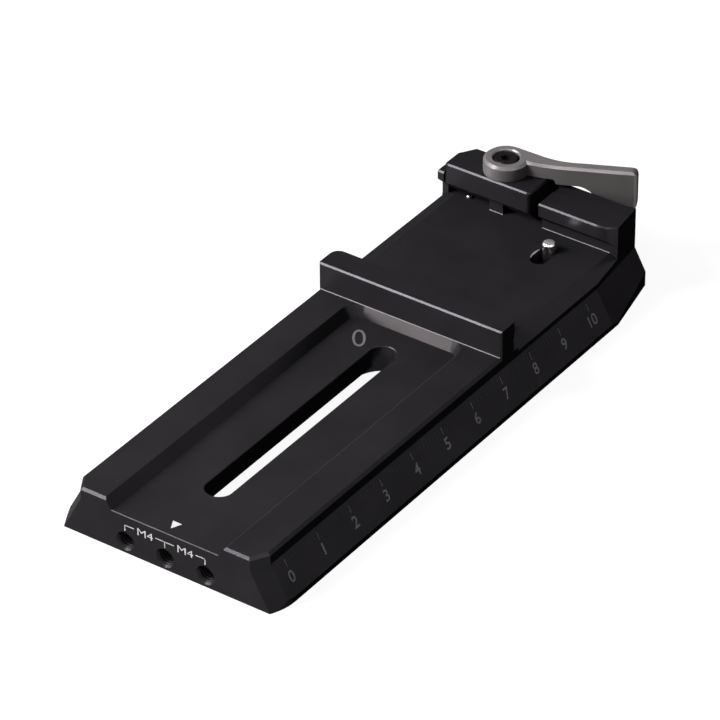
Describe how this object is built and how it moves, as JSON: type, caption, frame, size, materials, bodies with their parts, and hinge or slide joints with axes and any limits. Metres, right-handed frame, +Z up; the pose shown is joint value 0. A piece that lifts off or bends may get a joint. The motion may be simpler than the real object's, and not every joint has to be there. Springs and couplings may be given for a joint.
{
  "type": "tripod quick release plate",
  "caption": "Long dovetail tripod plate with an open recess and camera slot, a ruled edge, and a lever clamp for a smaller camera plate at its far end.",
  "frame": {"origin": "middle of the underside at the front face, on the plate's sliding axis", "axes": "+X across the plate to the ruled edge, +Y along the plate to the clamp, +Z up from the underside"},
  "size_m": [0.05, 0.1353, 0.0216],
  "materials": {
    "anodised_black": "fine bead-blasted black anodising",
    "lever_grey": "satin grey anodising",
    "bright_steel": "ground stainless steel",
    "spring_steel": "drawn spring wire",
    "black_steel": "blackened screw steel",
    "washer_plastic": "dark low-friction washer"
  },
  "bodies": {
    "plate": {"base_plate": "anodised_black", "stop_dowel": "bright_steel", "jaw_spring_left": "spring_steel", "jaw_spring_right": "spring_steel", "pin_spring": "spring_steel", "pin_cover": "anodised_black", "cover_screw_front": "black_steel", "cover_screw_rear": "black_steel"},
    "jaw": {"movable_jaw": "anodised_black", "guide_pin_left": "bright_steel", "guide_pin_right": "bright_steel", "thrust_washer": "washer_plastic"},
    "lever": {"cam_lever": "lever_grey", "eccentric_shaft": "bright_steel", "lever_screw": "black_steel"},
    "pin": {"safety_pin": "bright_steel"}
  },
  "joints": [
    {"name": "lever_turn", "type": "hinge", "parent": "jaw", "child": "lever", "pos_m": [-0.008, 0.1235, 0.01885], "axis": [0, 0, 1], "range_deg": [0, 95]},
    {"name": "jaw_slide", "type": "slide", "parent": "plate", "child": "jaw", "axis": [0, 1, 0], "range_m": [0, 0.0018]},
    {"name": "pin_press", "type": "slide", "parent": "plate", "child": "pin", "axis": [0, 0, -1], "range_m": [0, 0.0019], "stiffness_N_per_m": 800, "springref_m": -0.001, "deforming": ["pin_spring"]}
  ],
  "couplings": [
    {"joint": "jaw_slide", "follows": "lever_turn", "m_per_rad": 0.001085}
  ]
}
